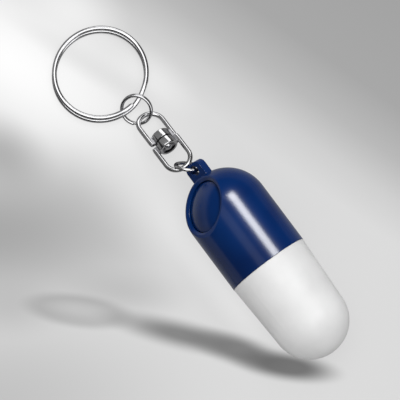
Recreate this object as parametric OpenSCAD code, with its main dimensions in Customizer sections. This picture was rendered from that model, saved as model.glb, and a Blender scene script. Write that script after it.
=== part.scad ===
// Pill-shaped push-button key light on a swivel and key ring, lying on a table.
// Origin: the point on the table under the seam of the pill.
// +X runs along the pill towards the white end, +Z is up.

/* [Casing] */
// Outer radius of the blue casing
casing_r = 13.4; // [13:0.1:16]
// Length of the casing's straight part, from the seam to the dome
casing_len = 21.2; // [20.8:0.1:30]
// Wall of the casing
casing_wall = 1.6; // [1.2:0.1:1.8]
// Width of the shoulder inside the casing that stops the battery carrier
shoulder_w = 0.9; // [0.6:0.1:1.2]

/* [Button] */
// Angle between the pill's axis and the button's axis
button_tilt = 58; // [52:0.5:62]
// Height angle of the button and of the lug's hole above the table
button_azimuth = 43.4; // [30:0.2:60]
// How much smaller than the casing the rim is, as a radius
rim_inset = 3.55; // [3.2:0.05:4]
// How far the rim's face stands out from the dome at its outer edge
rim_proud = 0.25; // [0.1:0.05:0.5]
// Width of the rim around the button
rim_w = 1.6; // [1.3:0.1:1.8]
// Depth of the rim, from its face to the ledge that holds the button in
rim_depth = 2.3; // [1.8:0.1:2.6]
// Depth of the sloping dish inside the rim
rim_dish = 0.5; // [0.3:0.05:0.7]
// Radius of the rim's rounded edge
rim_round = 0.4; // [0.2:0.05:0.6]
// Gap all round the button
button_gap = 0.3; // [0.2:0.05:0.4]
// How far the button's edge lies below the rim's face
button_sink = 0.9; // [0.6:0.05:1.1]
// Height of the button's crown
button_crown = 1.9; // [1:0.1:2.2]
// Width of the flange that keeps the button in
flange_w = 1; // [0.6:0.1:1.2]
// Thickness of that flange
flange_t = 0.85; // [0.6:0.05:1]
// Travel of the button
button_travel = 0.6; // [0.3:0.05:0.7]
// Wall of the button's skirt
skirt_wall = 1.2; // [0.9:0.1:1.6]
// Least thickness of the button's top beside the crown
button_top = 0.5; // [0.4:0.05:0.8]
// Radius of the stem under the button
stem_r = 2.2; // [1.6:0.1:2.6]

/* [Lug] */
// Width of the lug
lug_w = 6.6; // [5.6:0.1:7.6]
// Thickness of the lug
lug_t = 2.9; // [2.2:0.1:3.2]
// Radius of the lug's hole
lug_hole_r = 1.65; // [1.4:0.05:1.8]
// Wall between the hole and the lug's end
lug_end = 0.8; // [0.7:0.05:1.2]
// Radius of the lug's rounded corners
lug_corner = 2; // [1:0.1:2.3]
// Distance from the dome's tip to the lug's hole
lug_reach = 2.55; // [2.4:0.05:3.4]

/* [Diffuser] */
// How far the white half's edge lies inside the casing's outside
diffuser_step = 0.1; // [0:0.05:0.4]
// How much smaller the white half's round end is than its edge, as a radius
tip_narrowing = 1; // [0.5:0.1:1.6]
// Distance from the seam to the centre of the round end
tip_x = 21.4; // [18:0.1:26]
// Wall of the white half
diffuser_wall = 1.5; // [1.2:0.1:2]
// Length of the neck that plugs into the casing
neck_len = 4.2; // [3.8:0.1:4.6]
// Wall of the neck
neck_wall = 1.5; // [1.3:0.05:1.7]
// Thickness of the rubber ring on the neck
seal_t = 0.8; // [0.6:0.05:0.9]
// Distance from the seam to the middle of the rubber ring
seal_x = 2.2; // [1.8:0.1:2.6]

/* [Light and cells] */
// Room beside a coin cell for the carrier's wall, up to the casing's bore
cell_room = 1.8; // [1.7:0.05:2.2]
// Thickness of a coin cell
cell_t = 3.2; // [2.5:0.05:3.2]
// Distance from the seam to the front face of the light board
board_x = 5; // [4.9:0.1:5.6]
// Thickness of the circuit boards
board_t = 1; // [0.8:0.1:1.2]
// Radius of the light emitter's body
led_r = 2.5; // [1.5:0.1:2.9]
// Length of the light emitter from its base to its tip
led_len = 8.6; // [6:0.1:10]
// Height of the light emitter's base above its board
led_stand = 1.8; // [1:0.1:3]
// Thickness of the carrier's end wall
carrier_end = 0.9; // [0.7:0.1:1.1]
// Room between a cell and the contact or board next to it
contact_room = 0.5; // [0.4:0.05:0.6]
// Thickness of the contact sheet
contact_t = 0.2; // [0.15:0.01:0.25]
// Side of the square foot of the front contact
contact_foot = 4; // [3:0.1:5]
// Distance from that foot's outer edge to the pill's axis
contact_offset = 7; // [6:0.1:7.4]
// Length of a contact's springy finger
finger_len = 4; // [3:0.1:4.5]
// Width of a contact's springy finger
finger_w = 3; // [2:0.1:3.5]
// Length of the rear contact's plate
rear_plate_len = 6; // [5:0.1:8]
// Width of the rear contact's plate
rear_plate_w = 10; // [6:0.1:12]
// Width of the rear contact's tab, which runs past the cells to the light board
tab_w = 2; // [1.4:0.1:2.6]
// Distance from the pill's axis to the resistor's near end
resistor_at = 4; // [3.6:0.1:5]
// Length of the resistor
resistor_len = 3.2; // [2:0.1:3.4]
// Width of the resistor
resistor_w = 1.6; // [1.2:0.1:2]
// Height of the resistor
resistor_h = 0.5; // [0.4:0.05:0.6]

/* [Switch] */
// Distance from the dome's centre to the underside of the switch board
switch_level = 0.5; // [0.2:0.05:0.7]
// Width of the switch board
switch_board_w = 13; // [10:0.5:14]
// Side of the switch body
switch_w = 6; // [5:0.1:6.2]
// Height of the switch body
switch_h = 3.2; // [2.8:0.05:3.3]
// Radius of the switch plunger
plunger_r = 1.75; // [1.2:0.05:2.2]
// Radius of the wider foot that keeps the plunger in
plunger_foot_r = 2.1; // [1.9:0.05:2.4]
// Least distance from the switch board to the carrier behind it
switch_board_room = 0.5; // [0.3:0.1:1]
// Diameter of an insulated wire inside the casing
lead_d = 0.9; // [0.7:0.05:1]

/* [Key ring] */
// Mean radius of the key ring
key_r = 14.4; // [12:0.1:18]
// Diameter of the key ring's wire
key_wire = 1.2; // [1:0.05:1.5]
// Distance between the planes of its two turns, beyond one wire
key_turn_gap = 0.05; // [0.04:0.01:0.3]
// How far the upper turn is shifted sideways
key_shift = 1.05; // [0.6:0.05:1.3]
// Direction in which the wire crosses from one turn to the other
key_bend_at = 170; // [166:1:172]
// Angle that this crossing takes up
key_bend_angle = 30; // [28:1:32]
// Tilt of the key ring, raised where the jump ring passes under it
key_tilt = 4.7; // [3:0.1:7]
// Direction from the jump ring to the key ring's centre
key_heading = 191.5; // [180:0.5:200]
// Distance from the jump ring's centre to the key ring's wire
key_inset = 2.05; // [1.8:0.05:2.3]

/* [Jump ring] */
// Mean radius of the jump ring
jump_r = 4.75; // [4.4:0.05:5.2]
// Diameter of the jump ring's wire
jump_wire = 1.1; // [0.9:0.05:1.2]
// Tilt of the jump ring as it lies against the table
jump_tilt = 32; // [28:0.5:36]
// Direction in which the jump ring rises
jump_heading = 121; // [110:0.5:130]

/* [Swivel] */
// Distance from the swivel's middle to the wire at the end of a loop
swivel_len = 11.85; // [11:0.05:13]
// Distance between the wires of the two arms
arm_spacing = 8.3; // [7.8:0.05:8.8]
// Diameter of the swivel's wire
swivel_wire = 1.5; // [1.2:0.05:1.6]
// Gap between the facing ends of the arms
arm_gap = 0.9; // [0.6:0.05:1.2]
// Outer radius of the swivel's barrels
barrel_r = 2.85; // [2.6:0.05:3]
// Length of one barrel
barrel_len = 2.8; // [2.2:0.05:3.2]
// Gap between the two barrels
barrel_gap = 0.3; // [0.2:0.02:0.5]
// Radius of the rivet
rivet_r = 1; // [0.8:0.05:1.2]
// Radius of the rivet's head
rivet_head_r = 1.7; // [1.4:0.05:1.8]
// Height of the rivet's head
rivet_head_h = 0.75; // [0.5:0.05:1]
// Depth of the recess round the rivet's head
recess_depth = 0.6; // [0.3:0.05:0.8]
// Gap all round the rivet's head in its recess
recess_gap = 0.5; // [0.3:0.05:0.6]
// Rest angle of the upper loop about the swivel's axis
upper_roll = 18; // [0:1:30]
// Sideways heading of the swivel
swivel_yaw = -1.5; // [-6:0.5:6]

/* [Lower ring] */
// Mean radius of the lower ring
lower_r = 3.75; // [3.5:0.05:4.2]
// Diameter of the lower ring's wire
lower_wire = 1.1; // [0.9:0.05:1.2]
// How far the lower ring has swung from the pill's axis
lower_swing = 42; // [36:0.5:48]
// Slant of the lower ring in the lug's hole
lower_slant = 10; // [0:0.5:14]

/* [Fits] */
// Radial play of a shaft in its bore
shaft_play = 0.05; // [0.03:0.01:0.08]
// Radial play of a fitted drum, plug or ring
fit_play = 0.06; // [0.04:0.01:0.1]
// Radial play round the loose parts inside
loose_play = 0.15; // [0.1:0.01:0.2]
// Radial play of the rubber ring in its groove and in the casing
seal_play = 0.02; // [0.01:0.01:0.04]
// Gap that lets a moving part start freely
rest_gap = 0.05; // [0.03:0.01:0.1]

/* [Hidden] */
$fn = 60;
wire_sides = 20;
small_sides = 24;

blue = "#14337a";
white = "#eef0ee";
nickel = "#c9cacb";

// Casing
bore_r = casing_r - casing_wall;
dome = [-casing_len, 0, casing_r];
rim_r = casing_r - rim_inset;
rim_level = sqrt(casing_r ^ 2 - rim_r ^ 2) + rim_proud;
button_bore = rim_r - rim_w;
button_r = button_bore - button_gap;
ledge_level = rim_level - rim_depth;
button_edge = rim_level - button_sink;
crown_r = (button_r ^ 2 + button_crown ^ 2) / (2 * button_crown);
plate_level = button_edge - button_top;
flange_top = ledge_level - rest_gap;
flange_bottom = flange_top - flange_t;

// Switch, on the button's axis
board_top = switch_level + board_t;
switch_top = board_top + switch_h;
plunger_top = switch_top + button_travel + 0.1;
stem_end = plunger_top + rest_gap;
cover_t = 0.5;
cover_w = switch_w - 0.6;
foot_t = 0.5;
foot_ceiling = switch_top - 0.8;
foot_top = foot_ceiling - rest_gap;
switch_floor = foot_top - foot_t - button_travel - 0.1;
post_r = 1.2;
post_h = 4.5;
post_at = button_r + flange_w + post_r - 0.2;
flange_flat = post_at - post_r - 0.2;
switch_board_r = post_at + post_r - 0.1;
screw_r = 0.55;
screw_head_r = 1.05;
screw_head_h = 0.6;
screw_grip = 2.7;

// Carrier, cells and boards, as distances from the seam
carrier_r = bore_r - fit_play;
cell_r = bore_r - cell_room;
carrier_bore = cell_r + loose_play;
board_back = board_x + board_t;
front_cell_x = board_back + contact_room;
rear_cell_x = front_cell_x + cell_t;
cells_end = rear_cell_x + cell_t;
carrier_floor = cells_end + contact_room;
carrier_back = carrier_floor + carrier_end;
light_board_r = carrier_r - 0.1;
carrier_screw_at = (carrier_bore + carrier_r) / 2;
carrier_screw_r = 0.4;
carrier_head_r = 0.65;
carrier_head_h = 0.45;
carrier_grip = 2.4;
finger_rise = asin((contact_room - contact_t) / finger_len);
finger_root = 0.2;
tab_at = carrier_bore + loose_play;
lead_at = (carrier_bore + bore_r) / 2;
lead_spacing = lead_d + 0.7;
lead_slot_w = lead_spacing + lead_d + 0.9;
lead_slot_in = lead_at - lead_d / 2 - loose_play;
lead_elbow = carrier_back + shoulder_w + lead_d;
switch_board_half = min(switch_board_w / 2, (casing_len - carrier_back - switch_board_room
    + switch_level * cos(button_tilt)) / sin(button_tilt));

// White half
diffuser_r = casing_r - diffuser_step;
tip_r = diffuser_r - tip_narrowing;
neck_r = bore_r - fit_play;
neck_bore = neck_r - neck_wall;
seal_mean_r = bore_r - seal_t / 2 - seal_play;
groove_r = seal_mean_r - seal_t / 2 - seal_play;
groove_w = seal_t + 0.2;
led_base = board_x - led_stand;
led_pitch = 2.54;
led_pin = 0.5;
led_sunk = 1.5;

// Chain: each link starts from the one before it, and the two big rings lie on the table
frame_a = 90 - button_azimuth;
function turned(v) = [v.x, v.y * cos(frame_a) - v.z * sin(frame_a), v.y * sin(frame_a) + v.z * cos(frame_a)];
hole = [-casing_len - casing_r - lug_reach, 0, casing_r];
lower_center = hole + lower_r * turned([-cos(lower_swing), -sin(lower_swing), 0]);
loop_in_lower = [-0.5, -0.9, -0.65];
jump_from_loop = [-2.8, -1.1, 1.2];
jump_z = jump_wire / 2 + jump_r * sin(jump_tilt);
low_end = lower_center + loop_in_lower;
swivel_rise = asin((low_end.z - jump_z + jump_from_loop.z) / (2 * swivel_len));
swivel_dir = [cos(swivel_rise) * cos(swivel_yaw), cos(swivel_rise) * sin(swivel_yaw), sin(swivel_rise)];
swivel_mid = low_end - swivel_len * swivel_dir;
top_end = swivel_mid - swivel_len * swivel_dir;
jump_center = top_end + jump_from_loop;
key_dir = [cos(key_heading), sin(key_heading), 0];
key_z = key_wire / 2 + key_r * sin(key_tilt);
key_flat = jump_center + (key_r + key_inset) * key_dir;
key_center = [key_flat.x, key_flat.y, key_z];
key_step = [0, key_shift, key_wire + key_turn_gap];
barrel_end = barrel_gap / 2 + barrel_len;
web_t = swivel_wire;
web_len = 2.6;
barrel_edge = 0.2;

module along_pill() {
    translate([0, 0, casing_r]) rotate([frame_a, 0, 0]) rotate([0, -90, 0]) children();
}

module on_button() {
    translate(dome) rotate([frame_a, 0, 0]) rotate([0, button_tilt - 90, 0]) children();
}

module on_lug() {
    translate(hole) rotate([frame_a, 0, 0]) children();
}

module on_swivel() {
    translate(swivel_mid) rotate([0, 0, swivel_yaw]) rotate([0, -swivel_rise, 0]) children();
}

module ring(mean_r, wire) {
    rotate_extrude() translate([mean_r, 0]) circle(d = wire, $fn = wire_sides);
}

// Half profile of a pill end: a straight wall up to the dome's centre, then the dome
module casing_profile(r, mouth = 0) {
    intersection() {
        union() {
            translate([0, casing_len]) circle(r);
            translate([-r, -mouth]) square([2 * r, casing_len + mouth]);
        }
        translate([0, -mouth]) square([2 * r, 3 * casing_len]);
    }
}

// Half profile of the tapered white half, whose straight sides run into its round end
module diffuser_profile(r_seam, r_end) {
    taper = acos(r_end / norm([r_seam, tip_x])) - atan2(tip_x, r_seam);
    inside_r = r_end - 0.02;
    side_end = [inside_r * cos(taper), -tip_x - inside_r * sin(taper)];
    intersection() {
        union() {
            translate([0, -tip_x]) circle(r_end);
            polygon([[0, 0], [r_seam, 0], side_end, [0, side_end.y]]);
        }
        translate([0, -3 * tip_x]) square([2 * r_seam, 3 * tip_x]);
    }
}

module lug_outline() {
    end_x = -lug_hole_r - lug_end;
    root_x = lug_reach + casing_wall * 0.8;
    side_y = lug_w / 2 - lug_corner;
    for (s = [-1, 1]) translate([end_x + lug_corner, s * side_y]) circle(lug_corner);
    translate([end_x, -side_y]) square([root_x - end_x, 2 * side_y]);
    translate([end_x + lug_corner, -lug_w / 2]) square([root_x - end_x - lug_corner, lug_w]);
}

module rim_profile() {
    translate([rim_r - rim_round, rim_level - rim_round]) circle(rim_round);
    polygon([[button_bore, ledge_level], [rim_r, ledge_level], [rim_r, rim_level - rim_round],
        [rim_r - rim_round, rim_level], [rim_r - rim_w / 2, rim_level],
        [button_bore, rim_level - rim_dish]]);
}

module top_casing() {
    color(blue) difference() {
        union() {
            difference() {
                along_pill() rotate_extrude() casing_profile(casing_r);
                along_pill() rotate_extrude() casing_profile(bore_r, mouth = 1);
                on_button() translate([0, 0, rim_level - rim_dish])
                    cylinder(r = rim_r - rim_round, h = casing_r);
                on_button() translate([0, 0, rim_level]) cylinder(r = rim_r + 2, h = casing_r);
                on_button() cylinder(r = button_bore, h = casing_r);
            }
            on_button() rotate_extrude() rim_profile();
            on_button() screw_places() translate([0, 0, board_top]) cylinder(r = post_r, h = post_h);
            along_pill() carrier_shoulder();
            on_lug() translate([0, 0, -lug_t / 2]) linear_extrude(lug_t) lug_outline();
        }
        on_lug() cylinder(r = lug_hole_r, h = 2 * lug_t, center = true);
        on_button() screw_places() cylinder(r = screw_r + shaft_play, h = board_top + screw_grip + 0.3);
    }
}

module screw_places() {
    for (s = [-1, 1]) translate([0, s * post_at, 0]) children();
}

module carrier_shoulder() {
    difference() {
        translate([0, 0, carrier_back]) cylinder(r = bore_r + casing_wall / 2, h = shoulder_w);
        cylinder(r = carrier_bore + 0.4, h = 2 * casing_len);
        lead_slot();
    }
}

// Room for the two wires that run past the cells, on the side away from the button
module lead_slot() {
    translate([-bore_r - 0.2, -lead_slot_w / 2, 0])
        cube([bore_r + 0.2 - lead_slot_in, lead_slot_w, 2 * casing_len]);
}

module push_button() {
    color(blue) on_button() difference() {
        union() {
            rotate_extrude() intersection() {
                translate([0, button_edge + button_crown - crown_r]) circle(crown_r);
                translate([0, flange_bottom]) square([button_r, 2 * button_r]);
            }
            intersection() {
                translate([0, 0, flange_bottom]) cylinder(r = button_r + flange_w, h = flange_t);
                translate([-2 * button_r, -flange_flat, 0])
                    cube([4 * button_r, 2 * flange_flat, 2 * button_r]);
            }
        }
        difference() {
            translate([0, 0, flange_bottom - 1])
                cylinder(r = button_r - skirt_wall, h = plate_level - flange_bottom + 1);
            translate([0, 0, stem_end]) cylinder(r = stem_r, h = 2 * button_r);
        }
    }
}

module switch_body() {
    color("#2a2c30") on_button() difference() {
        union() {
            translate([-switch_w / 2, -switch_w / 2, board_top])
                cube([switch_w, switch_w, switch_h - cover_t]);
            translate([-cover_w / 2, -cover_w / 2, board_top]) cube([cover_w, cover_w, switch_h]);
        }
        translate([0, 0, switch_floor])
            cylinder(r = plunger_foot_r + loose_play, h = foot_ceiling - switch_floor);
        cylinder(r = plunger_r + shaft_play, h = 2 * switch_top);
        for (s = [-1, 1]) translate([-cover_w, s * (switch_w / 2 - 0.3) - 0.3, 0])
            cube([cover_w / 2, 0.6, board_top + 1]);
    }
}

module switch_plunger() {
    color("#d8d8d4") on_button() {
        translate([0, 0, foot_top - foot_t]) cylinder(r = plunger_foot_r, h = foot_t);
        translate([0, 0, foot_top - foot_t]) cylinder(r = plunger_r, h = plunger_top - foot_top + foot_t);
    }
}

module switch_board() {
    color("#2f6b45") on_button() difference() {
        intersection() {
            translate([0, 0, switch_level]) cylinder(r = switch_board_r, h = board_t);
            translate([-switch_board_half, -2 * casing_r, 0])
                cube([2 * switch_board_half, 4 * casing_r, 2 * switch_w]);
        }
        screw_places() translate([0, 0, -1]) cylinder(r = screw_r + shaft_play, h = board_top + 2);
    }
}

module switch_screws() {
    color("#c0c2c4") on_button() screw_places() difference() {
        union() {
            translate([0, 0, switch_level - screw_head_h]) cylinder(r = screw_head_r, h = screw_head_h);
            cylinder(r = screw_r, h = board_top + screw_grip);
        }
        cross_recess(switch_level - screw_head_h, screw_head_r);
    }
}

module cross_recess(level, head_r) {
    for (a = [0, 90]) rotate([0, 0, a]) translate([-head_r * 0.6, -0.12, level - 1])
        cube([head_r * 1.2, 0.24, 1.3]);
}

module battery_carrier() {
    color("#3a3d41") along_pill() difference() {
        translate([0, 0, board_back]) cylinder(r = carrier_r, h = carrier_back - board_back);
        cylinder(r = carrier_bore, h = carrier_floor);
        lead_slot();
        translate([-tab_w / 2 - loose_play, 0, 0])
            cube([tab_w + 2 * loose_play, tab_at + contact_t + 0.3, carrier_floor]);
        board_screw_places() cylinder(r = carrier_screw_r + shaft_play, h = board_back + carrier_grip + 0.3);
    }
}

module board_screw_places() {
    for (a = [-45, 135]) rotate([0, 0, a]) translate([carrier_screw_at, 0, 0]) children();
}

module cell(front) {
    color("#c4c6c8") along_pill() {
        translate([0, 0, front]) cylinder(r = cell_r - 1.1, h = cell_t);
        translate([0, 0, front + 0.3]) cylinder(r = cell_r, h = cell_t - 0.3);
    }
}

module rear_cell() {
    cell(rear_cell_x);
}

module front_cell() {
    cell(front_cell_x);
}

module rear_contact() {
    plate_at = carrier_floor - contact_t;
    color("#d6c17a") along_pill() {
        translate([-rear_plate_len / 2, -rear_plate_w / 2, plate_at])
            cube([rear_plate_len, rear_plate_w, contact_t]);
        for (a = [0, 180]) rotate([0, 0, a])
            translate([rear_plate_len / 2 - finger_root, -finger_w / 2, plate_at])
            rotate([0, finger_rise, 0]) cube([finger_len, finger_w, contact_t]);
        translate([-tab_w / 2, 0, plate_at]) cube([tab_w, tab_at + contact_t, contact_t]);
        translate([-tab_w / 2, tab_at, board_back]) cube([tab_w, contact_t, carrier_floor - board_back]);
    }
}

module front_contact() {
    foot_mid = -contact_offset + contact_foot / 2;
    color("#d6c17a") along_pill() {
        translate([-contact_foot, -contact_offset, board_back])
            cube([contact_foot, contact_foot, contact_t]);
        translate([-finger_root, foot_mid - finger_w / 2, board_back])
            rotate([0, -finger_rise, 0]) cube([finger_len, finger_w, contact_t]);
    }
}

module light_board() {
    color("#2f6b45") along_pill() difference() {
        translate([0, 0, board_x]) cylinder(r = light_board_r, h = board_t);
        board_screw_places() cylinder(r = carrier_screw_r + shaft_play, h = 2 * board_back);
        led_pins(shaft_play, 0, 2 * board_back);
    }
}

module board_screws() {
    color("#c0c2c4") along_pill() board_screw_places() difference() {
        union() {
            translate([0, 0, board_x - carrier_head_h]) cylinder(r = carrier_head_r, h = carrier_head_h);
            translate([0, 0, board_x - 0.1]) cylinder(r = carrier_screw_r, h = board_t + carrier_grip + 0.1);
        }
        cross_recess(board_x - carrier_head_h - 0.1, carrier_head_r);
    }
}

module led_pins(play, from, to) {
    for (s = [-1, 1]) translate([-led_pin / 2 - play, s * led_pitch / 2 - led_pin / 2 - play, from])
        cube([led_pin + 2 * play, led_pin + 2 * play, to - from]);
}

module led_lens() {
    color("#f3f4f2") along_pill() difference() {
        rotate_extrude() intersection() {
            union() {
                translate([0, led_base - led_len + led_r]) circle(led_r);
                translate([-led_r, led_base - led_len + led_r]) square([2 * led_r, led_len - led_r]);
                translate([0, led_base - 1]) square([led_r + 0.4, 1]);
            }
            translate([0, led_base - led_len]) square([2 * led_r, led_len]);
        }
        led_pins(shaft_play, led_base - led_sunk - shaft_play, led_base + 1);
    }
}

module led_leads() {
    color("#d0d0cc") along_pill() led_pins(0, led_base - led_sunk, board_back);
}

module resistor() {
    cap_len = resistor_len / 5;
    cap_h = resistor_h + 0.1;
    color("#1f2022") along_pill() translate([resistor_at, led_pitch, board_x]) {
        translate([0, -resistor_w / 2, -resistor_h]) cube([resistor_len, resistor_w, resistor_h]);
        for (s = [0, resistor_len - cap_len]) translate([s, -resistor_w / 2 - 0.05, -cap_h])
            cube([cap_len, resistor_w + 0.1, cap_h]);
    }
}

// Both wires drop from the switch board to the far wall, then run along it to the light board
module lead_wires() {
    start = (casing_len - lead_elbow) * sin(button_tilt) - lead_at * cos(button_tilt);
    drop = switch_level + (lead_at + start * cos(button_tilt)) / sin(button_tilt);
    color("#a3262a") for (s = [-1, 1]) {
        on_button() translate([start, s * lead_spacing / 2, switch_level - drop])
            cylinder(d = lead_d, h = drop, $fn = small_sides);
        along_pill() translate([-lead_at, s * lead_spacing / 2, lead_elbow])
            sphere(d = lead_d, $fn = small_sides);
        along_pill() translate([-lead_at, s * lead_spacing / 2, board_back])
            cylinder(d = lead_d, h = lead_elbow - board_back, $fn = small_sides);
    }
}

module seal_ring() {
    color("#202224") on_neck() translate([0, 0, seal_x]) ring(seal_mean_r, seal_t);
}

// The white half stands a hair away from the casing's edge
module on_neck() {
    translate([rest_gap, 0, 0]) along_pill() children();
}

module diffuser() {
    color(white) on_neck() difference() {
        union() {
            rotate_extrude() diffuser_profile(diffuser_r, tip_r);
            cylinder(r = neck_r, h = neck_len);
        }
        difference() {
            rotate_extrude() diffuser_profile(diffuser_r - diffuser_wall, tip_r - diffuser_wall);
            translate([0, 0, -diffuser_wall]) cylinder(r = diffuser_r, h = 2 * diffuser_wall);
        }
        translate([0, 0, -2 * diffuser_wall]) cylinder(r = neck_bore, h = neck_len + 3 * diffuser_wall);
        translate([0, 0, seal_x - groove_w / 2]) difference() {
            cylinder(r = casing_r, h = groove_w);
            translate([0, 0, -1]) cylinder(r = groove_r, h = groove_w + 2);
        }
    }
}

module lower_ring() {
    color(nickel) on_lug() rotate([0, 0, 180 + lower_swing]) translate([lower_r, 0, 0])
        rotate([lower_slant, 0, 0]) rotate([90, 0, 0]) ring(lower_r, lower_wire);
}

// One half of the swivel: a loop of wire, whose arms carry a barrel for the rivet
module swivel_half() {
    bend_x = swivel_len - arm_spacing / 2;
    difference() {
        union() {
            translate([bend_x, 0, 0]) rotate([0, 0, -90]) rotate_extrude(angle = 180)
                translate([arm_spacing / 2, 0]) circle(d = swivel_wire, $fn = wire_sides);
            for (s = [-1, 1]) translate([arm_gap / 2, s * arm_spacing / 2, 0]) rotate([0, 90, 0])
                cylinder(d = swivel_wire, h = bend_x - arm_gap / 2, $fn = wire_sides);
            translate([arm_gap / 2, -arm_spacing / 2, -web_t / 2]) cube([web_len, arm_spacing, web_t]);
            rotate([0, 90, 0]) rotate_extrude() barrel_profile();
        }
        rotate([0, 90, 0]) cylinder(r = rivet_r + shaft_play, h = 2 * barrel_end, center = true);
        translate([barrel_end - recess_depth, 0, 0]) rotate([0, 90, 0])
            cylinder(r = rivet_head_r + recess_gap, h = barrel_len);
    }
}

module barrel_profile() {
    polygon([[0, barrel_gap / 2], [barrel_r - barrel_edge, barrel_gap / 2],
        [barrel_r, barrel_gap / 2 + barrel_edge], [barrel_r, barrel_end - barrel_edge],
        [barrel_r - barrel_edge, barrel_end], [0, barrel_end]]);
}

module swivel_lower_loop() {
    color(nickel) on_swivel() swivel_half();
}

module swivel_upper_loop() {
    color(nickel) on_swivel() rotate([-upper_roll, 0, 0]) rotate([0, 0, 180]) swivel_half();
}

module swivel_rivet() {
    seat = barrel_end - recess_depth;
    color("#bfc1c3") on_swivel() rotate([0, 90, 0]) {
        translate([0, 0, -seat - rest_gap]) cylinder(r = rivet_r, h = 2 * seat + rest_gap);
        translate([0, 0, seat]) rivet_head();
        translate([0, 0, -seat - rest_gap]) rotate([180, 0, 0]) rivet_head();
    }
}

module rivet_head() {
    head_sphere = (rivet_head_r ^ 2 + rivet_head_h ^ 2) / (2 * rivet_head_h);
    rotate_extrude() intersection() {
        translate([0, rivet_head_h - head_sphere]) circle(head_sphere);
        square([2 * rivet_head_r, rivet_head_h]);
    }
}

module jump_ring() {
    color(nickel) translate(jump_center) rotate([0, 0, jump_heading]) rotate([0, -jump_tilt, 0])
        ring(jump_r, jump_wire);
}

// Two turns of wire that lie on each other, joined by one slanting bend
module key_ring() {
    color(nickel) translate(key_center) rotate([0, -key_tilt, 0]) {
        key_turn();
        translate(key_step) key_turn();
        key_bend();
    }
}

function key_point(angle) = key_r * [cos(angle), sin(angle), 0];

module key_turn() {
    rotate([0, 0, key_bend_at + key_bend_angle / 2]) rotate_extrude(angle = 360 - key_bend_angle)
        translate([key_r, 0]) circle(d = key_wire, $fn = wire_sides);
}

module key_bend() {
    bend_from = key_point(key_bend_at - key_bend_angle / 2);
    bend_to = key_point(key_bend_at + key_bend_angle / 2) + key_step;
    span = bend_to - bend_from;
    bend_r = norm(span) / 2 / sin(key_bend_angle / 2);
    translate((bend_from + bend_to) / 2) rotate([0, 0, atan2(span.y, span.x) - 90])
        rotate([asin(span.z / norm(span)), 0, 0]) translate([-bend_r * cos(key_bend_angle / 2), 0, 0])
        rotate([0, 0, -key_bend_angle / 2]) rotate_extrude(angle = key_bend_angle)
        translate([bend_r, 0]) circle(d = key_wire, $fn = wire_sides);
    for (p = [bend_from, bend_to]) translate(p) sphere(d = key_wire + 0.03, $fn = small_sides);
}

top_casing();
push_button();
switch_body();
switch_plunger();
switch_board();
switch_screws();
battery_carrier();
rear_cell();
front_cell();
rear_contact();
front_contact();
light_board();
board_screws();
led_lens();
led_leads();
resistor();
lead_wires();
seal_ring();
diffuser();
lower_ring();
swivel_lower_loop();
swivel_rivet();
swivel_upper_loop();
jump_ring();
key_ring();
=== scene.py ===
import bmesh
import bpy
import math
from mathutils import Matrix, Vector


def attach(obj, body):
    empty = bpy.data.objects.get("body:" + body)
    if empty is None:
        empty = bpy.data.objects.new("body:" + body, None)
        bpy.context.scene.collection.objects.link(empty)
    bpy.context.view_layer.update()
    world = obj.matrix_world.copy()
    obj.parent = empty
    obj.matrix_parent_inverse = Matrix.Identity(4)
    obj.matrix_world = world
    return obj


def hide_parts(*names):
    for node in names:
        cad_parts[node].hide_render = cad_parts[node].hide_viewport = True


# Pill-shaped key light on a swivel and split ring, dressed over its CAD frame.
# Metres in the CAD frame: +X towards the white cap, +Z up, table at 0.

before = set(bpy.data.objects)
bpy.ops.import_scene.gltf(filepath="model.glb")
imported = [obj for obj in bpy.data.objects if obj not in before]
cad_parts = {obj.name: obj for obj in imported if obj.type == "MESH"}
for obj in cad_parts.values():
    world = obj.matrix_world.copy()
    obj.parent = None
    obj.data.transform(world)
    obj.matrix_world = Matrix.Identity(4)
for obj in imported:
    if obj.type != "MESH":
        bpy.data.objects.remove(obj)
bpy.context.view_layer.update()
mm = 0.001
scene = bpy.context.scene
print("frame loaded:", len(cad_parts), "nodes")


# Camera: nearly straight down, turned so that the pill runs from top left to bottom right
photoCamera = {
    "azimuth": 53.5,
    "elevation": 82.0,
    "distance": 1245.1,
    "target": (-28.97, -5.02, 13.4),
    "lens": 360.0,
    "sensor": 36.0,
}


def placeCamera(setup):
    azimuth, elevation = math.radians(setup["azimuth"]), math.radians(setup["elevation"])
    back = Vector((math.sin(azimuth) * math.cos(elevation),
                   -math.cos(azimuth) * math.cos(elevation), math.sin(elevation)))
    right = Vector((math.cos(azimuth), math.sin(azimuth), 0))
    up = back.cross(right)
    data = bpy.data.cameras.new("photoCamera")
    data.lens, data.sensor_width = setup["lens"], setup["sensor"]
    data.clip_start, data.clip_end = 0.01, 20
    camera = bpy.data.objects.new("photoCamera", data)
    place = (Vector(setup["target"]) + back * setup["distance"]) * mm
    camera.matrix_world = Matrix((
        (right.x, up.x, back.x, place.x), (right.y, up.y, back.y, place.y),
        (right.z, up.z, back.z, place.z), (0, 0, 0, 1)))
    scene.collection.objects.link(camera)
    scene.camera = camera


placeCamera(photoCamera)
scene.view_settings.view_transform = "Standard"
print("camera placed")


# Node helpers
def linear(hexText):
    channels = [int(hexText[i:i + 2], 16) / 255 for i in (0, 2, 4)]
    light = [c / 12.92 if c <= 0.04045 else ((c + 0.055) / 1.055) ** 2.4 for c in channels]
    return *light, 1.0


def addNode(tree, kind, links=None, **settings):
    node = tree.nodes.new(kind)
    for name, value in settings.items():
        setattr(node, name, value)
    for socket, value in (links or {}).items():
        if isinstance(value, bpy.types.NodeSocket):
            tree.links.new(value, node.inputs[socket])
        else:
            node.inputs[socket].default_value = value
    return node


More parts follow.
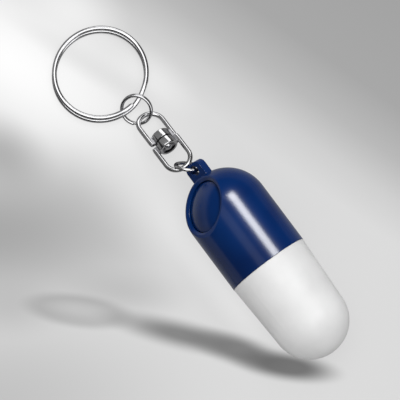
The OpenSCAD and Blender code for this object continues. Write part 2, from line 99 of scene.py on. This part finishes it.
def newMaterial(name):
    material = bpy.data.materials.new(name)
    material.use_nodes = True
    tree = material.node_tree
    shader = tree.nodes["Principled BSDF"]
    place = addNode(tree, "ShaderNodeTexCoord").outputs["Object"]
    return material, tree, shader, place


def setShader(shader, **values):
    for name, value in values.items():
        shader.inputs[name.replace("_", " ")].default_value = value


def rampStops(node, stops):
    elements = node.color_ramp.elements
    while len(elements) < len(stops):
        elements.new(0.5)
    for element, (position, tone) in zip(elements, stops):
        element.position, element.color = position, linear(tone)


def noise(tree, place, size, detail=2.0):
    node = addNode(tree, "ShaderNodeTexNoise", {"Vector": place, "Scale": 1 / (size * mm), "Detail": detail})
    return node.outputs["Fac"]


def linkTone(tree, shader, source, stops):
    ramp = addNode(tree, "ShaderNodeValToRGB", {"Fac": source})
    rampStops(ramp, stops)
    tree.links.new(ramp.outputs["Color"], shader.inputs["Base Color"])


def linkRoughness(tree, shader, source, span):
    gloss = addNode(tree, "ShaderNodeMapRange", {"Value": source, "To Min": span[0], "To Max": span[1]})
    tree.links.new(gloss.outputs["Result"], shader.inputs["Roughness"])


def linkBump(tree, shader, source, strength, depth, edge=None):
    bump = addNode(tree, "ShaderNodeBump", {"Height": source, "Strength": strength, "Distance": depth * mm})
    if edge:  # moulded edges are a little round, so they catch a thin glint
        rounded = addNode(tree, "ShaderNodeBevel", {"Radius": edge * mm}, samples=8)
        tree.links.new(rounded.outputs["Normal"], bump.inputs["Normal"])
    tree.links.new(bump.outputs["Normal"], shader.inputs["Normal"])


# Sizes in the material dictionaries are mm: how wide a pattern is, how deep its relief goes.
# Blue ABS, injection moulded in a polished mould: deep navy, a long soft streak of light,
# a faint orange-peel where the melt shrank
blueAbs = {
    "tones": [(0.3, "001e4f"), (0.75, "002960")],
    "flow": 18, "grain": 0.5, "roughness": (0.2, 0.235),
    "peel": 1.6, "bump": 0.12, "depth": 0.01, "edge": 0.18,
}


def makeBlueAbs(name, setup):
    material, tree, shader, place = newMaterial(name)
    linkTone(tree, shader, noise(tree, place, setup["flow"]), setup["tones"])
    linkRoughness(tree, shader, noise(tree, place, setup["grain"], 4.0), setup["roughness"])
    linkBump(tree, shader, noise(tree, place, setup["peel"]), setup["bump"], setup["depth"], setup["edge"])
    setShader(shader, IOR=1.53, Specular_IOR_Level=0.52)
    return material


# Milky polypropylene, moulded thin: light scatters inside, so shading stays pale and soft,
# and the streak of light is no more than a brighter band
milkyPolypropylene = {
    "tones": [(0.3, "dfdfdf"), (0.7, "e8e8e8")],
    "cloud": 11, "grain": 0.6, "roughness": (0.36, 0.42),
    "bump": 0.12, "depth": 0.01, "edge": 0.12,
    "scatter": 0.3, "scatterDepth": 1.2,
}


def makeMilkyPolypropylene(name, setup):
    material, tree, shader, place = newMaterial(name)
    linkTone(tree, shader, noise(tree, place, setup["cloud"], 3.0), setup["tones"])
    grain = noise(tree, place, setup["grain"], 3.0)
    linkRoughness(tree, shader, grain, setup["roughness"])
    linkBump(tree, shader, grain, setup["bump"], setup["depth"], setup["edge"])
    setShader(shader, IOR=1.49, Specular_IOR_Level=0.45, Subsurface_Weight=setup["scatter"],
              Subsurface_Radius=(1.0, 1.0, 1.0), Subsurface_Scale=setup["scatterDepth"] * mm)
    return material


# Nickel-plated steel wire, drawn and barrel polished: a white core between dark edges,
# with faint scuffs from the tumbling
nickelWire = {
    "tone": "d6d6d7", "worn": "c9c9cb", "rim": "505054",
    "roughness": (0.14, 0.18), "scuff": 2.4, "bump": 0.06, "depth": 0.01,
}
# The pressed webs between arm and barrel stay frosted. The barrel's hollow end gets painted shade: dark, dull
# nickel standing in for the shadow inside it.
pressedNickel = {**nickelWire, "tone": "b4b4b7", "worn": "96969a", "roughness": (0.36, 0.48)}
paintedShadeNickel = {**nickelWire, "tone": "505053", "worn": "3a3a3d", "roughness": (0.4, 0.55)}


def makeNickelWire(name, setup):
    material, tree, shader, place = newMaterial(name)
    scuff = noise(tree, place, setup["scuff"], 5.0)
    linkTone(tree, shader, scuff, [(0.35, setup["worn"]), (0.6, setup["tone"])])
    linkRoughness(tree, shader, scuff, setup["roughness"])
    linkBump(tree, shader, scuff, setup["bump"], setup["depth"])
    setShader(shader, Metallic=1.0, Specular_Tint=linear(setup["rim"]))
    return material


# Inner parts. "stretch" draws the grain out along one axis, as rolling and turning do.
# "bump" is the depth of the relief.
innerBump = 0.4
innerMaterials = {
    # Glass-filled nylon: charcoal, dull, with a fine sparkle of fibre ends
    "blackNylon": {"tones": ("1b1d1f", "33363a"), "grain": 0.35, "roughness": (0.5, 0.7), "bump": 0.02},
    # Acetal: waxy off-white, cut marks hardly visible
    "whiteAcetal": {"tones": ("d0d0cb", "e2e2de"), "grain": 0.8, "roughness": (0.35, 0.45), "bump": 0.005},
    # Solder mask over glass cloth: green, the weave just showing through the lacquer
    "maskedFibreglass": {"tones": ("1d4a30", "2f6b45"), "grain": 0.5, "stretch": (1, 5, 1),
                         "roughness": (0.25, 0.4), "bump": 0.01},
    # Zinc-plated steel screw: bluish grey with fine turned rings
    "zincPlatedSteel": {"tones": ("9fa3a8", "c4c7ca"), "grain": 0.3, "stretch": (6, 1, 1),
                        "roughness": (0.25, 0.4), "bump": 0.01, "metal": 1.0},
    # Cell can: bright stainless sheet with long rolling streaks
    "rolledStainless": {"tones": ("b4b6b8", "cfd1d2"), "grain": 1.6, "stretch": (1, 9, 1),
                        "roughness": (0.18, 0.32), "bump": 0.006, "metal": 1.0},
    # Phosphor bronze contact strip: warm yellow, streaked, a little tarnished
    "phosphorBronze": {"tones": ("a8883f", "d6bb6c"), "grain": 0.9, "stretch": (1, 7, 1),
                       "roughness": (0.2, 0.38), "bump": 0.006, "metal": 1.0},
    # Tinned copper pins: soft white metal, slightly frosted
    "tinnedCopper": {"tones": ("b9bab8", "d8d8d5"), "grain": 0.25, "roughness": (0.28, 0.42),
                     "bump": 0.008, "metal": 1.0},
    # Thick-film resistor: black glaze, glossy where it melted
    "resistorGlaze": {"tones": ("121315", "26282b"), "grain": 0.3, "roughness": (0.15, 0.35), "bump": 0.01},
    # PVC wire cover: dark red, smooth, with a slow ripple from the extruder
    "redPvc": {"tones": ("7d1518", "a8262b"), "grain": 1.2, "stretch": (1, 1, 4),
               "roughness": (0.35, 0.45), "bump": 0.01},
    # Nitrile ring: black, matt, dusted with talc
    "nitrileRubber": {"tones": ("151618", "2c2d30"), "grain": 0.6, "roughness": (0.6, 0.8), "bump": 0.015},
}


def makeInnerMaterial(name, setup):
    material, tree, shader, place = newMaterial(name)
    drawn = addNode(tree, "ShaderNodeMapping", {"Vector": place, "Scale": setup.get("stretch", (1, 1, 1))})
    grain = noise(tree, drawn.outputs["Vector"], setup["grain"], 4.0)
    linkTone(tree, shader, grain, [(0.35, setup["tones"][0]), (0.65, setup["tones"][1])])
    linkRoughness(tree, shader, grain, setup["roughness"])
    linkBump(tree, shader, grain, innerBump, setup["bump"])
    setShader(shader, Metallic=setup.get("metal", 0.0))
    return material


# Clear epoxy lens: glassy, with a faint haze of tiny bubbles
clearEpoxy = {"tones": [(0.3, "e9ecec"), (0.7, "fafbfb")], "haze": 0.9, "roughness": (0.04, 0.16)}


def makeClearEpoxy(name, setup):
    material, tree, shader, place = newMaterial(name)
    haze = noise(tree, place, setup["haze"], 3.0)
    linkTone(tree, shader, haze, setup["tones"])
    linkRoughness(tree, shader, haze, setup["roughness"])
    setShader(shader, IOR=1.54, Transmission_Weight=0.9)
    return material


shellBlue = makeBlueAbs("satinBlueAbs", blueAbs)
capWhite = makeMilkyPolypropylene("milkyPolypropylene", milkyPolypropylene)
wireNickel = makeNickelWire("nickelPlatedWire", nickelWire)
dullNickel = makeNickelWire("nickelLeftDull", pressedNickel)
# painted shade for the barrels' hollow ends
recessPaintedShade = makeNickelWire("nickelPaintedRecessShade", paintedShadeNickel)
inner = {name: makeInnerMaterial(name, setup) for name, setup in innerMaterials.items()}
print("materials made")

finishes = {
    "top_casing": shellBlue, "push_button": shellBlue, "diffuser": capWhite,
    "lower_ring": wireNickel, "swivel_lower_loop": wireNickel, "swivel_upper_loop": wireNickel,
    "swivel_rivet": wireNickel, "jump_ring": wireNickel, "key_ring": wireNickel,
    "switch_body": inner["blackNylon"], "battery_carrier": inner["blackNylon"],
    "switch_plunger": inner["whiteAcetal"],
    "switch_board": inner["maskedFibreglass"], "light_board": inner["maskedFibreglass"],
    "switch_screws": inner["zincPlatedSteel"], "board_screws": inner["zincPlatedSteel"],
    "rear_cell": inner["rolledStainless"], "front_cell": inner["rolledStainless"],
    "rear_contact": inner["phosphorBronze"], "front_contact": inner["phosphorBronze"],
    "led_lens": makeClearEpoxy("clearEpoxy", clearEpoxy), "led_leads": inner["tinnedCopper"],
    "resistor": inner["resistorGlaze"], "lead_wires": inner["redPvc"],
    "seal_ring": inner["nitrileRubber"],
}
for nodeName, material in finishes.items():
    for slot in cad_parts[nodeName].material_slots:
        slot.material = material
print("finishes on", len(finishes), "nodes")


# Wire pieces are swept tubes and turned drums, finer than their solids in the CAD frame
wirePieces = []
sharpFrom = 38   # degrees between faces that meet in a sharp edge
endWidth = 0.8   # a cut wire end is tumbled narrower than the wire


def finishPiece(name, verts, faces, matrix, body, node, slots=None):
    mesh = bpy.data.meshes.new(name)
    mesh.from_pydata([matrix @ Vector(v) * mm for v in verts], [], faces)
    work = bmesh.new()
    work.from_mesh(mesh)
    bmesh.ops.recalc_face_normals(work, faces=work.faces)
    work.faces.ensure_lookup_table()
    for index, slot in (slots or {}).items():
        work.faces[index].material_index = slot
    work.to_mesh(mesh)
    work.free()
    for material in [wireNickel, dullNickel, recessPaintedShade] if slots else [wireNickel]:
        mesh.materials.append(material)
    mesh.shade_smooth()
    mesh.set_sharp_from_angle(angle=math.radians(sharpFrom))
    piece = bpy.data.objects.new(name, mesh)
    scene.collection.objects.link(piece)
    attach(piece, body)
    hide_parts(node)
    wirePieces.append(piece)


def sweepTube(points, radius, closed=False, sides=28):
    points = [Vector(p) for p in points]
    count = len(points)
    verts, faces, side = [], [], None
    for i, point in enumerate(points):
        ahead = points[(i + 1) % count] if closed or i < count - 1 else point
        behind = points[i - 1] if closed or i else point
        along = (ahead - behind).normalized()
        side = along.orthogonal() if side is None else side - along * side.dot(along)
        side.normalize()
        up = along.cross(side)
        width = radius if closed or 0 < i < count - 1 else radius * endWidth
        for k in range(sides):
            turn = 2 * math.pi * k / sides
            verts.append(point + (side * math.cos(turn) + up * math.sin(turn)) * width)
    for i in range(count if closed else count - 1):
        j = (i + 1) % count
        shift = 0
        if closed and j == 0:  # the cross-section may have turned on its way round
            shift = min(range(sides), key=lambda k: (verts[i * sides + k] - verts[0]).length)
        for k in range(sides):
            a, b = (k + shift) % sides, (k + 1 + shift) % sides
            faces.append((i * sides + a, i * sides + b, j * sides + (k + 1) % sides, j * sides + k))
    if not closed:
        faces.append(tuple(range(sides)))
        faces.append(tuple((count - 1) * sides + k for k in range(sides)))
    return verts, faces


def turnProfile(profile, sides=56):
    # Profile points are (along, radius); the axis is X
    verts, faces, rings = [], [], []
    for along, radius in profile:
        if radius == 0:
            rings.append([len(verts)] * sides)
            verts.append((along, 0, 0))
        else:
            rings.append(list(range(len(verts), len(verts) + sides)))
            turns = [2 * math.pi * k / sides for k in range(sides)]
            verts += [(along, radius * math.cos(turn), radius * math.sin(turn)) for turn in turns]
    for lower, upper in zip(rings, rings[1:]):
        for k in range(sides):
            n = (k + 1) % sides
            faces.append(tuple(dict.fromkeys((lower[k], lower[n], upper[n], upper[k]))))
    return verts, faces


def joinShells(*shells):
    verts, faces = [], []
    for shellVerts, shellFaces in shells:
        faces += [tuple(i + len(verts) for i in face) for face in shellFaces]
        verts += list(shellVerts)
    return verts, faces


def placed(at, *turns):
    matrix = Matrix.Translation(at)
    for angle, axis in turns:
        matrix = matrix @ Matrix.Rotation(math.radians(angle), 4, axis)
    return matrix


# Rings of two turns, joined by one slanting bend. "step" carries one turn to the next,
# "bendAt" and "bend" say where it starts from and how far round it runs, in degrees.
splitRing = {
    "at": (-81.05, -6.1, 1.9), "turns": ((-4.7, "Y"),), "radius": 14.55, "wire": 1.5,
    "first": (0.21, 0.27, 0.0), "step": (-0.42, 0.51, 1.25), "bendAt": 25, "bend": 34,
}
jumpRing = {
    "at": (-65.129, -3.151, 3.067), "turns": ((121, "Z"), (-32, "Y")), "radius": 4.75, "wire": 0.98,
    "first": (0.0, 0.0, -0.3), "step": (0.0, 0.0, 0.6), "bendAt": 215, "bend": 50,
}


def onCircle(radius, angle):
    return radius * Vector((math.cos(angle), math.sin(angle), 0))


def makeDoubleRing(name, setup, body, node, pieces=240):
    first, step = Vector(setup["first"]), Vector(setup["step"])
    halfBend = setup["bend"] / 2
    points = []
    for i in range(pieces + 1):
        turn = halfBend + (720 - 2 * halfBend) * i / pieces
        share = min(1, max(0, (turn - 360 + halfBend) / (2 * halfBend)))
        share = share * share * (3 - 2 * share)  # eases in and out of the bend
        points.append(onCircle(setup["radius"], math.radians(turn + setup["bendAt"])) + first + step * share)
    verts, faces = sweepTube(points, setup["wire"] / 2)
    finishPiece(name, verts, faces, placed(setup["at"], *setup["turns"]), body, node)


makeDoubleRing("splitKeyRing", splitRing, "keys_ring", "key_ring")
makeDoubleRing("jumpRingWire", jumpRing, "jump_link", "jump_ring")

# Closed ring through the lug
lugRing = {
    "at": (-37.15, 0, 13.4), "turns": ((46.6, "X"), (222, "Z")), "slant": ((10, "X"), (90, "X")),
    "radius": 3.75, "wire": 1.15,
}


def makeLugRing(setup, pieces=72):
    points = [onCircle(setup["radius"], 2 * math.pi * i / pieces) for i in range(pieces)]
    verts, faces = sweepTube(points, setup["wire"] / 2, closed=True)
    matrix = placed(setup["at"], *setup["turns"]) @ placed((setup["radius"], 0, 0), *setup["slant"])
    finishPiece("lugRingWire", verts, faces, matrix, "lug_ring", "lower_ring")


makeLugRing(lugRing)

# Swivel: each half is a U of wire whose arms are pressed into a turned barrel. The rivet's
# heads sit in the barrels' hollow ends.
swivel = {
    "at": (-51.383, -2.337, 6.397), "turns": ((-1.5, "Z"), (-22.474, "Y")), "roll": 18,
    "reach": 11.85, "spacing": 8.3, "wire": 1.5, "armGap": 0.32, "armPieces": 8, "bendPieces": 40,
    "barrel": 3.1, "barrelFrom": 0.24, "barrelTo": 2.95, "gapEdge": 0.06, "edge": 0.25,
    "bore": 2.3, "boreTaper": 0.05, "recess": 0.9, "webLength": 2.5, "webThickness": 1.3,
    "head": 1.6, "headHeight": 1.2, "shank": 1.0,
}


def swivelHalf(setup):
    half, gap = setup["spacing"] / 2, setup["armGap"]
    bend = setup["reach"] - half
    arm = [(gap + (bend - gap) * i / setup["armPieces"], -half, 0) for i in range(setup["armPieces"])]
    turns = [math.pi * i / setup["bendPieces"] for i in range(setup["bendPieces"] + 1)]
    arc = [(bend + half * math.sin(turn), -half * math.cos(turn), 0) for turn in turns]
    loop = sweepTube(arm + arc + [(x, -y, z) for x, y, z in reversed(arm)], setup["wire"] / 2)

    near, far, edge, outer = setup["barrelFrom"], setup["barrelTo"], setup["edge"], setup["barrel"]
    profile = [(near, 0), (near, outer - setup["gapEdge"]), (near + setup["gapEdge"], outer)]
    for turn in (math.radians(a) for a in (0, 30, 60, 90)):
        profile.append((far - edge * (1 - math.sin(turn)), outer - edge * (1 - math.cos(turn))))
    floorAt = far - setup["recess"]
    profile += [(far, setup["bore"]), (floorAt, setup["bore"] - setup["boreTaper"]), (floorAt, 0)]
    barrel = turnProfile(profile)

    bandCount = len(profile) - 1
    sides = len(barrel[1]) // bandCount
    # the hollow end's dark nickel is painted shade
    finishOf = {0: 1, bandCount - 2: 2, bandCount - 1: 2}  # gap face dull, hollow end dark
    slots = {len(loop[1]) + i: finishOf[i // sides] for i in range(len(barrel[1])) if i // sides in finishOf}
    web = [(x, y, z) for x in (gap, gap + setup["webLength"]) for y in (-half, half)
           for z in (-setup["webThickness"] / 2, setup["webThickness"] / 2)]
    webFaces = [(0, 1, 3, 2), (4, 6, 7, 5), (0, 4, 5, 1), (2, 3, 7, 6), (0, 2, 6, 4), (1, 5, 7, 3)]
    slots.update({len(loop[1]) + len(barrel[1]) + i: 1 for i in range(len(webFaces))})
    return *joinShells(loop, barrel, (web, webFaces)), slots


def makeSwivel(setup):
    matrix = placed(setup["at"], *setup["turns"])
    verts, faces, slots = swivelHalf(setup)
    finishPiece("swivelLowerHalf", verts, faces, matrix, "swivel_lower", "swivel_lower_loop", slots)
    turned = matrix @ placed((0, 0, 0), (-setup["roll"], "X"), (180, "Z"))
    finishPiece("swivelUpperHalf", verts, faces, turned, "swivel_upper", "swivel_upper_loop", slots)
    seat = setup["barrelTo"] - setup["recess"]
    turns = [math.radians(a) for a in range(0, 91, 15)]
    head = [(seat + setup["headHeight"] * math.cos(turn), setup["head"] * math.sin(turn)) for turn in turns]
    shank = [(seat, setup["shank"]), (-seat, setup["shank"])]
    tail = [(-x, r) for x, r in reversed(head)]
    verts, faces = turnProfile(head + shank + tail, sides=40)
    finishPiece("swivelRivetPin", verts, faces, matrix, "swivel_lower", "swivel_rivet")


makeSwivel(swivel)
print("wire pieces made")


# Floor: pale paper sweep, with light and shade painted into its colour: a painted beam of light
# across it from one corner, and painted grey falling off on both sides. Places are in mm on the
# paper, across and up the picture. "glow" is the share of the tone that is the paper's own light,
# "mirrored" its strength in reflections.
paperFloor = {
    "size": 3.0,  # metres
    "turn": 53.5,
    "slope": (-0.577, -0.816, 0.0),
    # painted shade: the paper's grey deepens away from the beam, in stops along the slope
    "paintedFalloff": [(-91, "a4a4a4"), (-66, "a8a8a8"), (-52, "bababa"), (-41, "d0d0d0"), (-30, "dcdcdc"),
                (-18, "dcdcdc")],
    "glow": 0.8,
    "mirrored": 0.42,
}
# Soft-edged ovals of painted light and painted shade, laid one over the other. "core" is the share of the
# oval that is full.
paintedLightAndShade = [
    # painted light: the beam and its bright spots, with a thin band of painted shade inside it
    {"at": (-81, 66.7), "reach": (84, 32), "turn": -33, "tone": "ffffff", "core": 0.0, "amount": 1.0},
    {"at": (-61, 84), "reach": (24, 13), "turn": -33, "tone": "ffffff", "core": 0.0, "amount": 0.5},
    {"at": (-37, 62), "reach": (22, 10), "turn": -38, "tone": "ffffff", "core": 0.0, "amount": 0.35},
    {"at": (-35, 17), "reach": (33, 18), "turn": -38, "tone": "ffffff", "core": 0.0, "amount": 0.72},
    {"at": (-51, 62), "reach": (46, 6), "turn": -32, "tone": "dedede", "core": 0.0, "amount": 0.6},
    # painted shade below the beam, out to the left edge
    {"at": (-84, 37), "reach": (22, 15), "turn": -33, "tone": "aeaeae", "core": 0.0, "amount": 0.85},
    {"at": (-87, 12), "reach": (84, 36), "turn": 0, "tone": "aaaaaa", "core": 0.0, "amount": 1.0},
    {"at": (-87, -41.4), "reach": (82, 40), "turn": 0, "tone": "c4c4c4", "core": 0.0, "amount": 1.0},
    {"at": (-81, -12), "reach": (22, 12), "turn": 0, "tone": "a0a0a0", "core": 0.0, "amount": 0.3},
    {"at": (-45, -7), "reach": (25, 10), "turn": -8, "tone": "b0b0b0", "core": 0.0, "amount": 0.5},
    # painted light on the paper beside the pill's flank, standing in for light thrown back from it
    {"at": (-12.5, -7.5), "reach": (40, 8.5), "turn": -51, "tone": "ffffff", "core": 0.0, "amount": 0.38},
    # painted shadow of the rings, the chain and the pill, on the side away from the beam
    {"at": (-59.4, -12.9), "reach": (20.5, 6.3), "turn": -8, "tone": "909090", "core": 0.55, "amount": 0.46},
    {"at": (-59.0, -12.5), "reach": (15.5, 3.5), "turn": -8, "tone": "c8c8c8", "core": 0.1, "amount": 0.66},
    {"at": (-26.6, -20.5), "reach": (31.5, 5.9), "turn": -14, "tone": "7c7c7c", "core": 0.12, "amount": 0.91},
    {"at": (-9.4, -25.2), "reach": (20, 6.2), "turn": -17, "tone": "787878", "core": 0.22, "amount": 0.88},
    {"at": (5.6, -30.3), "reach": (20.5, 5.7), "turn": -9, "tone": "6a6a6a", "core": 0.28, "amount": 0.92},
    # and a painted contact shadow close under the pill, where only a low view sees it
    {"at": (-0.4, 0.5), "reach": (35, 10.5), "turn": -53.5, "tone": "6c6c6c", "core": 0.2, "amount": 0.8},
]


def makeFloor(setup, tones):
    half = setup["size"] / 2
    mesh = bpy.data.meshes.new("paperFloor")
    corners = [(-half, -half, 0), (half, -half, 0), (half, half, 0), (-half, half, 0)]
    mesh.from_pydata(corners, [], [(0, 1, 2, 3)])
    floor = bpy.data.objects.new("paperFloor", mesh)
    scene.collection.objects.link(floor)
    material, tree, shader, place = newMaterial("paperPaintedLightAndShade")
    turned = addNode(tree, "ShaderNodeVectorRotate", {
        "Vector": place, "Angle": -math.radians(setup["turn"])}, rotation_type="Z_AXIS").outputs["Vector"]
    along = addNode(tree, "ShaderNodeVectorMath", {0: turned, 1: setup["slope"]}, operation="DOT_PRODUCT")
    ends = [stop[0] for stop in setup["paintedFalloff"]]
    spread = addNode(tree, "ShaderNodeMapRange", {
        "Value": along.outputs["Value"], "From Min": ends[0] * mm, "From Max": ends[-1] * mm})
    ramp = addNode(tree, "ShaderNodeValToRGB", {"Fac": spread.outputs["Result"]})
    rampStops(ramp, [((stop - ends[0]) / (ends[-1] - ends[0]), tone) for stop, tone in setup["paintedFalloff"]])
    color = ramp.outputs["Color"]
    # each oval mixes its painted light and painted shade into the paper's colour
    for spot in tones:
        local = addNode(tree, "ShaderNodeMapping", {
            "Vector": turned, "Location": Vector((*spot["at"], 0)) * mm,
            "Rotation": (0, 0, math.radians(spot["turn"])), "Scale": Vector((*spot["reach"], 1000)) * mm},
            vector_type="TEXTURE")
        away = addNode(tree, "ShaderNodeVectorMath", {0: local.outputs["Vector"]}, operation="LENGTH")
        share = addNode(tree, "ShaderNodeMapRange", {
            "Value": away.outputs["Value"], "From Min": 1.0, "From Max": spot["core"],
            "To Max": spot["amount"]}, interpolation_type="SMOOTHSTEP")
        mixed = addNode(tree, "ShaderNodeMixRGB", {
            "Fac": share.outputs["Result"], "Color1": color, "Color2": linear(spot["tone"])})
        color = mixed.outputs["Color"]
    tree.links.new(color, shader.inputs["Base Color"])
    setShader(shader, Roughness=0.9, Specular_IOR_Level=0.0)
    # Part of the tone is the paper's own glow, so the object's shadow on it stays light
    rays = addNode(tree, "ShaderNodeLightPath")
    seen = rays.outputs["Is Camera Ray"]
    for kind in ("Is Glossy Ray", "Is Transmission Ray"):
        either = addNode(tree, "ShaderNodeMath", {0: seen, 1: rays.outputs[kind]}, operation="MAXIMUM")
        seen = either.outputs["Value"]
    share = addNode(tree, "ShaderNodeMapRange", {
        "Value": rays.outputs["Is Glossy Ray"], "To Min": setup["glow"], "To Max": 1.0})
    share = addNode(tree, "ShaderNodeMath", {0: seen, 1: share.outputs["Result"]}, operation="MULTIPLY")
    strength = addNode(tree, "ShaderNodeMapRange", {
        "Value": rays.outputs["Is Glossy Ray"], "To Min": 1.0, "To Max": setup["mirrored"]})
    glow = addNode(tree, "ShaderNodeEmission", {"Color": color, "Strength": strength.outputs["Result"]})
    both = addNode(tree, "ShaderNodeMixShader", {
        0: share.outputs["Value"], 1: shader.outputs["BSDF"], 2: glow.outputs["Emission"]})
    tree.links.new(both.outputs["Shader"], tree.nodes["Material Output"].inputs["Surface"])
    mesh.materials.append(material)
    return floor


floor = makeFloor(paperFloor, paintedLightAndShade)


# Lights. "from" is the slant of the lamp's direction along X and Y, in degrees; sizes and
# distances are mm. Lamps for the polished wire leave the plastic alone, and the key the wire.
casePieces = [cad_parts["top_casing"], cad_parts["push_button"]]
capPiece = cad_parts["diffuser"]
softBoxes = [
    # far side: its streak runs down the blue half, and a narrower one down the cap
    {"name": "keyBox", "aim": (-10, 0, 13), "from": (-16, 28), "distance": 600, "size": (300, 200),
     "watts": 3.65, "skip": wirePieces + [capPiece, floor]},
    {"name": "capBox", "aim": (10, 0, 13), "from": (-16, 36), "distance": 600, "size": (300, 110),
     "watts": 0.44, "only": [capPiece]},
    # overhead, for the cap and the paper, and a faint one on the near side
    {"name": "topBox", "aim": (0, 0, 13), "from": (-4, 12), "distance": 700, "size": (600, 600),
     "watts": 3.12, "skip": wirePieces + casePieces},
    {"name": "nearBox", "aim": (-10, 0, 13), "from": (-6, -17), "distance": 800, "size": (620, 300),
     "watts": 0.3},
    # the wire's white core, the swivel's bright bands and its grey, and the rivet's spot
    {"name": "wireBox", "aim": (-55, 0, 6), "from": (0, 4), "distance": 700, "size": (860, 860),
     "watts": 3.9, "only": wirePieces},
    {"name": "swivelStrip", "aim": (-51, -2, 6), "from": (-60.8, 58.3), "distance": 500, "size": (420, 210),
     "watts": 0.55, "only": wirePieces},
    {"name": "swivelFill", "aim": (-51, -2, 6), "from": (-53, 0), "distance": 700, "size": (1400, 1400),
     "watts": 1.3, "only": wirePieces},
    {"name": "rivetBox", "aim": (-48, -2, 8), "from": (51, 22), "distance": 500, "size": (300, 300),
     "watts": 0.5, "only": wirePieces},
]


def makeSoftBox(setup):
    along, across = (math.radians(a) for a in setup["from"])
    back = Vector((math.tan(along), math.tan(across), 1)).normalized()
    data = bpy.data.lights.new(setup["name"], "AREA")
    data.shape, data.size, data.size_y = "RECTANGLE", setup["size"][0] * mm, setup["size"][1] * mm
    data.energy = setup["watts"]
    light = bpy.data.objects.new(setup["name"], data)
    place = (Vector(setup["aim"]) + back * setup["distance"]) * mm
    up = back.cross(Vector((0, 1, 0)) if abs(back.x) > 0.9 else Vector((1, 0, 0))).normalized()
    right = up.cross(back)
    light.matrix_world = Matrix((
        (right.x, up.x, back.x, place.x), (right.y, up.y, back.y, place.y),
        (right.z, up.z, back.z, place.z), (0, 0, 0, 1)))
    scene.collection.objects.link(light)
    for rule, state in (("only", "INCLUDE"), ("skip", "EXCLUDE")):
        if rule in setup:
            receivers = bpy.data.collections.new(setup["name"] + "Receivers")
            for piece in setup[rule]:
                receivers.objects.link(piece)
            for member in receivers.collection_objects:
                member.light_linking.link_state = state
            light.light_linking.receiver_collection = receivers


for box in softBoxes:
    makeSoftBox(box)
print("lamps placed")

# World: a soft dome, a little brighter on the near side. Reflections see it dark all over,
# so that polished wire has dark edges.
studioSky = {
    "near": "bababa",
    "far": "a8a8a8",
    "seen": [(0.5, "262626"), (0.7, "2a2a2a"), (1.0, "2c2c2c")],
}


def makeSky(setup):
    world = bpy.data.worlds.new("studioSky")
    world.use_nodes = True
    scene.world = world
    tree = world.node_tree
    place = addNode(tree, "ShaderNodeTexCoord")
    split = addNode(tree, "ShaderNodeSeparateXYZ", {"Vector": place.outputs["Generated"]})
    height = addNode(tree, "ShaderNodeMapRange", {"Value": split.outputs["Z"], "From Min": -1.0})
    ramp = addNode(tree, "ShaderNodeValToRGB", {"Fac": height.outputs["Result"]})
    rampStops(ramp, setup["seen"])
    seen = addNode(tree, "ShaderNodeBackground", {"Color": ramp.outputs["Color"]})
    side = addNode(tree, "ShaderNodeMapRange", {"Value": split.outputs["Y"], "From Min": -1.0})
    shade = addNode(tree, "ShaderNodeValToRGB", {"Fac": side.outputs["Result"]})
    rampStops(shade, [(0.0, setup["near"]), (1.0, setup["far"])])
    dome = tree.nodes["Background"]
    tree.links.new(shade.outputs["Color"], dome.inputs["Color"])
    rays = addNode(tree, "ShaderNodeLightPath")
    both = addNode(tree, "ShaderNodeMixShader", {
        0: rays.outputs["Is Glossy Ray"], 1: dome.outputs["Background"], 2: seen.outputs["Background"]})
    tree.links.new(both.outputs["Shader"], tree.nodes["World Output"].inputs["Surface"])


makeSky(studioSky)
print("studio made")
